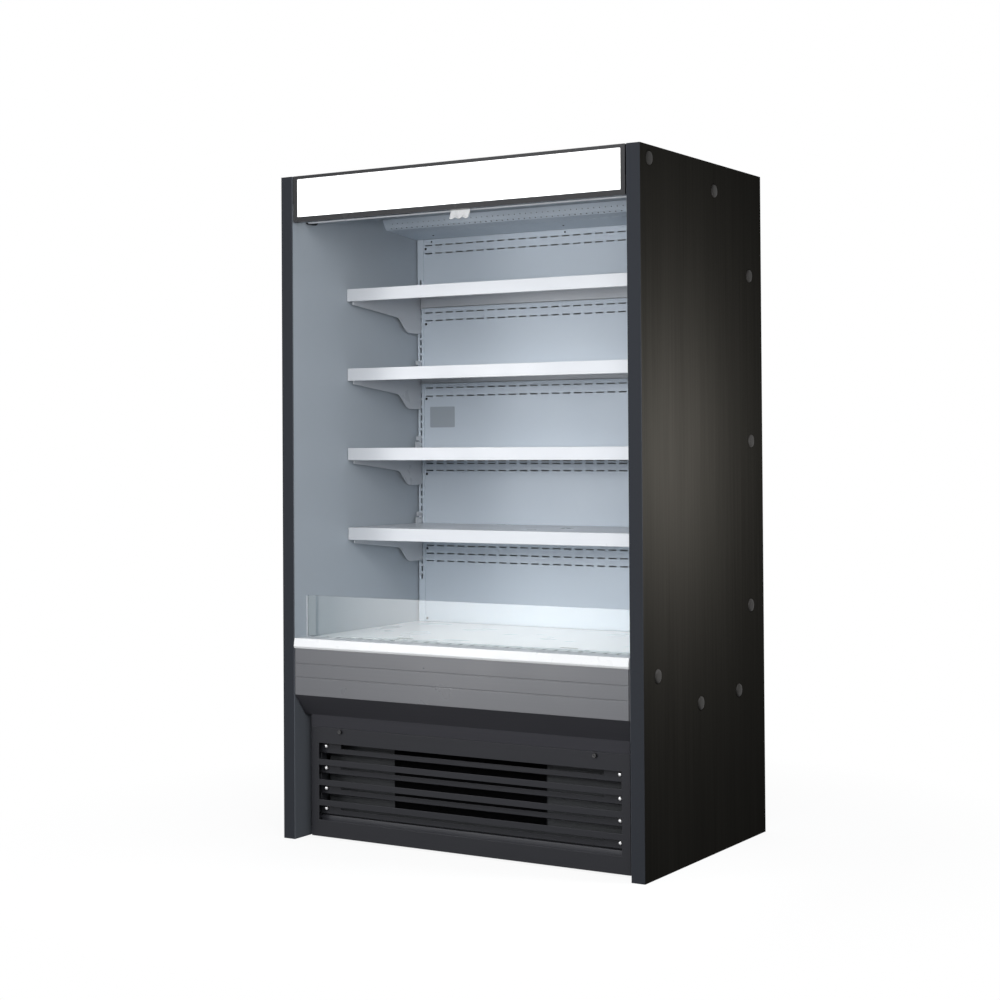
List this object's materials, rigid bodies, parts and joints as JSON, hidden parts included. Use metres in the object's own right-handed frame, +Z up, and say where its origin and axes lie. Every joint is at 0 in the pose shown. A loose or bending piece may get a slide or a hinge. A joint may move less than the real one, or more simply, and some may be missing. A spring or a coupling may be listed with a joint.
{
  "type": "open multideck display fridge",
  "caption": "Upright self-contained open display fridge with four shelves, glass riser, night curtain and lit sign header",
  "frame": {"origin": "centre of the footprint, on the floor", "axes": "+X to the viewer's right when facing the open front, +Y to the back, +Z up"},
  "size_m": [1.229, 0.8168, 2],
  "materials": {
    "dark_panel": "textured dark laminate",
    "dark_paint": "satin powder coat",
    "header_paint": "satin powder coat",
    "grey_paint": "satin",
    "liner": "satin",
    "foam": "smooth foil",
    "white_paint": "smooth powder coat",
    "back_paint": "smooth powder coat",
    "bumper": "smooth",
    "cap": "smooth",
    "glass": "clear",
    "sign": "translucent white",
    "lamp": "opal",
    "cloth": "woven",
    "aluminium": "brushed",
    "galvanised": "galvanised",
    "steel": "zinc plated",
    "black_plastic": "moulded",
    "copper": "drawn copper",
    "pvc": "smooth",
    "compressor_paint": "gloss black"
  },
  "bodies": {
    "cabinet": {"side_panel_left": "dark_panel", "side_panel_right": "dark_panel", "inner_liners": "liner", "bolt_caps": "cap", "rear_wall": "foam", "roof_panel": "foam", "tub_floor": "dark_paint", "tub_front": "dark_paint", "air_duct": "back_paint", "back_panels": "back_paint", "panel_screws": "steel", "uprights": "back_paint", "shelf_brackets": "white_paint", "lower_front_panel": "dark_paint", "kick_cover": "dark_paint", "bumper": "bumper", "front_glass": "glass", "glass_channel": "grey_paint", "header_frame": "header_paint", "sign_panel": "sign", "header_cover": "dark_paint", "sign_lamp": "lamp", "curtain_brackets": "black_plastic", "curtain_fabric": "cloth", "deck_rails": "galvanised", "evaporator": "aluminium", "evaporator_fan_plate": "galvanised", "base_frame": "dark_paint", "base_tray": "galvanised", "condenser": "aluminium", "fan_shroud": "galvanised", "fan_motors": "steel", "compressor": "compressor_paint", "control_box": "grey_paint", "condensate_pan": "pvc", "air_baffles": "galvanised", "rear_cover": "galvanised", "cable_gland": "black_plastic", "refrigerant_lines": "copper"},
    "shelf_1": {"shelf_bottom": "white_paint"},
    "shelf_2": {"shelf_lower": "white_paint"},
    "shelf_3": {"shelf_upper": "white_paint"},
    "shelf_4": {"shelf_top": "white_paint"},
    "left_deck": {"deck_pan_left": "white_paint"},
    "right_deck": {"deck_pan_right": "white_paint"},
    "intake_cover": {"return_grille": "white_paint"},
    "grille": {"service_grille": "dark_paint", "grille_blades": "dark_paint", "grille_fixings": "steel"},
    "roller": {"curtain_roller": "aluminium", "curtain_roll": "cloth"},
    "curtain": {"curtain_bar": "white_paint", "curtain_handle": "bumper"},
    "left_fan": {"evaporator_fan_left": "black_plastic"},
    "right_fan": {"evaporator_fan_right": "black_plastic"},
    "unit_fan": {"condenser_fan": "black_plastic"},
    "foot_front_left": {"leveling_foot_front_left": "steel"},
    "foot_front_right": {"leveling_foot_front_right": "steel"},
    "foot_rear_left": {"leveling_foot_rear_left": "steel"},
    "foot_rear_right": {"leveling_foot_rear_right": "steel"}
  },
  "joints": [
    {"name": "curtain_pull", "type": "slide", "parent": "cabinet", "child": "curtain", "axis": [0, 0, -1], "range_m": [0, 1.12], "stiffness_N_per_m": 12, "springref_m": -0.9, "deforming": ["curtain_fabric"]},
    {"name": "curtain_roll_spin", "type": "hinge", "parent": "cabinet", "child": "roller", "pos_m": [0, -0.314, 1.905], "axis": [1, 0, 0], "range_deg": [-30, 2700]},
    {"name": "shelf_1_lift", "type": "slide", "parent": "cabinet", "child": "shelf_1", "axis": [0, 0, 1], "range_m": [0, 0.06]},
    {"name": "shelf_2_lift", "type": "slide", "parent": "cabinet", "child": "shelf_2", "axis": [0, 0, 1], "range_m": [0, 0.06]},
    {"name": "shelf_3_lift", "type": "slide", "parent": "cabinet", "child": "shelf_3", "axis": [0, 0, 1], "range_m": [0, 0.06]},
    {"name": "shelf_4_lift", "type": "slide", "parent": "cabinet", "child": "shelf_4", "axis": [0, 0, 1], "range_m": [0, 0.06]},
    {"name": "left_deck_lift", "type": "slide", "parent": "cabinet", "child": "left_deck", "axis": [0, 0, 1], "range_m": [0, 0.12]},
    {"name": "right_deck_lift", "type": "slide", "parent": "cabinet", "child": "right_deck", "axis": [0, 0, 1], "range_m": [0, 0.12]},
    {"name": "intake_cover_lift", "type": "slide", "parent": "cabinet", "child": "intake_cover", "axis": [0, 0, 1], "range_m": [0, 0.08]},
    {"name": "grille_removal", "type": "slide", "parent": "cabinet", "child": "grille", "axis": [0, -1, 0], "range_m": [0, 0.12]},
    {"name": "left_fan_spin", "type": "hinge", "parent": "cabinet", "child": "left_fan", "pos_m": [-0.21, -0.156, 0.50585], "axis": [0, 1, 0], "continuous": true},
    {"name": "right_fan_spin", "type": "hinge", "parent": "cabinet", "child": "right_fan", "pos_m": [0.21, -0.156, 0.50585], "axis": [0, 1, 0], "continuous": true},
    {"name": "unit_fan_spin", "type": "hinge", "parent": "cabinet", "child": "unit_fan", "pos_m": [-0.026, -0.164, 0.19], "axis": [0, 1, 0], "continuous": true},
    {"name": "foot_front_left_screw", "type": "slide", "parent": "cabinet", "child": "foot_front_left", "axis": [0, 0, -1], "range_m": [0, 0.015]},
    {"name": "foot_front_right_screw", "type": "slide", "parent": "cabinet", "child": "foot_front_right", "axis": [0, 0, -1], "range_m": [0, 0.015]},
    {"name": "foot_rear_left_screw", "type": "slide", "parent": "cabinet", "child": "foot_rear_left", "axis": [0, 0, -1], "range_m": [0, 0.015]},
    {"name": "foot_rear_right_screw", "type": "slide", "parent": "cabinet", "child": "foot_rear_right", "axis": [0, 0, -1], "range_m": [0, 0.015]}
  ],
  "couplings": [
    {"joint": "curtain_roll_spin", "follows": "curtain_pull", "rad_per_m": 40.816}
  ]
}
